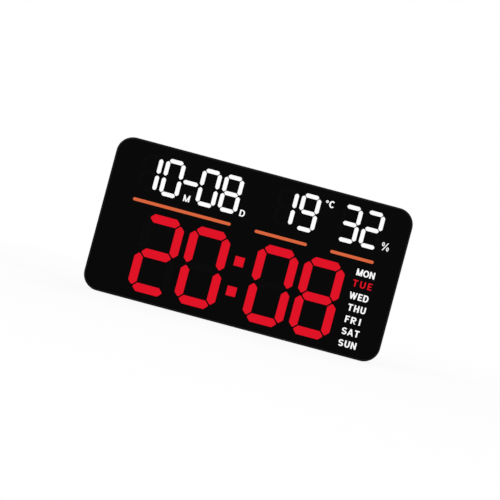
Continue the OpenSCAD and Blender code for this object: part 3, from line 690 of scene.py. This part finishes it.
def add_key_marks():
    side = 0.87 * KEY_MARK
    rise = 0.75 * KEY_MARK
    marks = {
        "set": circle((0, 0), KEY_MARK, SET_STROKE),
        "up": [[(-side, -rise), (side, -rise), (0, rise)]],
        "down": [[(-side, rise), (0, -rise), (side, rise)]],
        "alarm": bell(),
    }
    for key, strokes in marks.items():
        add_sign(f"{key}_mark", strokes, key_place(f"{key}_button"), f"{key}_key", "diffuser")


# Stage, in metres and watts

# How strongly the background lights the clock beside how bright it looks, and the lamps' width
SOFT_LIGHT = 0.5
LAMP_WIDTH = 0.7
# Each lamp's place and power
LAMPS = {
    "key_lamp": ((-0.8, -1.2, 1.2), 9),
    "fill_lamp": ((1.2, -0.8, 0.8), 5),
    "back_lamp": ((0.5, 1.3, 1.2), 7),
}
# The floor: half its width, how far it lies below the clock, and its grey level
FLOOR_REACH = 6.0
FLOOR_GAP = 0.0001
FLOOR_LEVEL = 0.95
# How much of the floor's look is plain white under the clock, and the distances in millimetres
# between which that share rises to the whole
FLOOR_GLOW = 0.88
FLOOR_FADE = (250, 900)


def add_camera():
    turn = math.radians(FACE_TURN_DEG)
    right = Vector((math.cos(turn), 0, math.sin(turn)))
    up = Vector((-math.sin(turn), 0, math.cos(turn)))
    pixel = face_width / FACE_WIDTH_PX
    picture_middle = (PHOTO_SIZE - 1) / 2
    aim = face_middle + pixel * (picture_middle - FACE_MIDDLE_PX[0]) * right
    aim -= pixel * (picture_middle - FACE_MIDDLE_PX[1]) * up
    distance = PHOTO_SIZE * pixel * CAMERA_LENS / CAMERA_SENSOR
    camera_data = bpy.data.cameras.new("camera")
    camera_data.lens = CAMERA_LENS
    camera_data.sensor_width = CAMERA_SENSOR
    camera_data.clip_end = CAMERA_REACH
    camera = bpy.data.objects.new("camera", camera_data)
    facing = Matrix((right, up, (0, -1, 0))).transposed().to_4x4()
    camera.matrix_world = Matrix.Translation(aim - Vector((0, distance, 0))) @ facing
    bpy.context.scene.collection.objects.link(camera)
    bpy.context.scene.camera = camera


def add_lamp(name, place, power):
    lamp_data = bpy.data.lights.new(name, "AREA")
    lamp_data.size = LAMP_WIDTH
    lamp_data.energy = power
    lamp = bpy.data.objects.new(name, lamp_data)
    lamp.location = place
    lamp.rotation_euler = (face_middle - Vector(place)).to_track_quat("-Z", "Y").to_euler()
    bpy.context.scene.collection.objects.link(lamp)


def seen_straight(nodes):
    """One for rays that show a surface as it looks: straight, mirrored or through glass."""
    camera, glossy, through = [
        nodes.add("ShaderNodeLightPath", output=f"Is {ray} Ray")
        for ray in ("Camera", "Glossy", "Transmission")
    ]
    return camera + glossy + through > 0.5


def add_world():
    world = bpy.data.worlds.new("studio")
    bpy.context.scene.world = world
    nodes = NodeTree(world)
    background = nodes.tree.nodes["Background"]
    seen = seen_straight(nodes)
    nodes.feed(background, {"Color": opaque(WHITE), "Strength": seen * (1 - SOFT_LIGHT) + SOFT_LIGHT})


def add_floor():
    """A white floor that shows the clock's shadow, melts into the background away from it and lets a view
    from below through."""
    mesh = bpy.data.meshes.new("floor")
    signs = ((-1, -1), (1, -1), (1, 1), (-1, 1))
    corners = [(x * FLOOR_REACH, y * FLOOR_REACH, -FLOOR_GAP) for x, y in signs]
    mesh.from_pydata(corners, [], [(0, 1, 2, 3)])
    floor = bpy.data.objects.new("floor", mesh)
    bpy.context.scene.collection.objects.link(floor)
    finish = Finish("floor_white")
    finish.paint(Base_Color=opaque(grey(FLOOR_LEVEL)), Roughness=0.9, Specular_IOR_Level=0.0)
    distance = finish.add("ShaderNodeVectorMath", {"operation": "LENGTH"}, {0: finish.place}, output="Value")
    share = seen_straight(finish) * finish.spread(distance, FLOOR_GLOW, 1.0, *FLOOR_FADE)
    glow = finish.add("ShaderNodeEmission", sockets={"Color": opaque(WHITE), "Strength": 1.0})
    shader = Signal(finish, finish.shader.outputs[0])
    top = finish.add("ShaderNodeMixShader", sockets={0: share, 1: shader, 2: glow})
    below = finish.add("ShaderNodeNewGeometry", output="Backfacing")
    clear = finish.add("ShaderNodeBsdfTransparent")
    blend = finish.add("ShaderNodeMixShader", sockets={0: below, 1: top, 2: clear})
    finish.tree.links.new(blend.socket, finish.tree.nodes["Material Output"].inputs["Surface"])
    mesh.materials.append(finish.material)


add_camera()
dress_nodes()
add_weekdays()
add_units()
add_key_marks()
add_world()
add_floor()
for name, (place, power) in LAMPS.items():
    add_lamp(name, place, power)

bpy.context.scene.view_settings.view_transform = "Standard"
